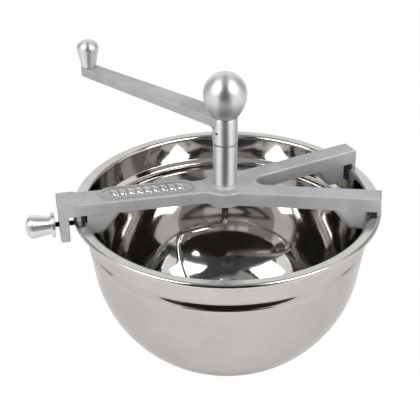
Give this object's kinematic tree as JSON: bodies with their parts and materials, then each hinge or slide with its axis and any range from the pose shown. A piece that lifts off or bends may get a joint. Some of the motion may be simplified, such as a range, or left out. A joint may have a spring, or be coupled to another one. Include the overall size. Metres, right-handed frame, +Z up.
{
  "type": "bowl kneader",
  "caption": "Hand-cranked kneader: deep flanged steel bowl, cast bridge clamped across its rim by a thumb screw, crank with a turning grip, and a bent rod that sweeps the bowl.",
  "frame": {"origin": "on the crank's axis, in the plane of the bowl's flat base; the bowl's own centre lies 1.6 mm towards +X, because the clamp draws the bridge that far", "axes": "+Z up along the crank shaft; -X along the clamp arm towards the thumb screw; +X between the two fork arms"},
  "size_m": [0.3229, 0.2863, 0.2805],
  "materials": {
    "bowl_steel": "polished inside, satin polished outside",
    "cast_aluminium": "tumbled casting, satin",
    "turned_aluminium": "turned and polished",
    "rod_steel": "bright drawn rod",
    "plain_steel": "plain zinc-plated",
    "black_steel": "black oxide",
    "bearing_bronze": "plain turned"
  },
  "bodies": {
    "stand": {"bowl": "bowl_steel", "bridge_frame": "cast_aluminium", "upper_bush": "bearing_bronze", "lower_bush": "bearing_bronze"},
    "crank": {"crank_arm": "cast_aluminium", "kneading_rod": "rod_steel", "palm_knob": "turned_aluminium", "cross_pin": "plain_steel", "thrust_washer": "plain_steel", "retaining_ring": "plain_steel"},
    "grip": {"crank_handle": "turned_aluminium", "handle_screw": "plain_steel", "handle_washer": "plain_steel"},
    "shoe": {"clamp_shoe": "plain_steel"},
    "thumb_screw": {"clamp_knob": "turned_aluminium", "clamp_stud": "black_steel"}
  },
  "joints": [
    {"name": "crank_turn", "type": "hinge", "parent": "stand", "child": "crank", "pos_m": [0, 0, 0.21483], "axis": [0, 0, 1], "continuous": true},
    {"name": "handle_spin", "type": "hinge", "parent": "crank", "child": "grip", "pos_m": [-0.10518, 0.13609, 0.24483], "axis": [0, 0, 1], "continuous": true},
    {"name": "clamp_travel", "type": "slide", "parent": "stand", "child": "shoe", "axis": [-1, 0, 0], "range_m": [0, 0.01]},
    {"name": "clamp_turn", "type": "hinge", "parent": "shoe", "child": "thumb_screw", "pos_m": [-0.15, 0, 0.14723], "axis": [-1, 0, 0], "range_deg": [0, 4500]}
  ],
  "couplings": [
    {"joint": "clamp_turn", "follows": "clamp_travel", "rad_per_m": 7853.9}
  ]
}
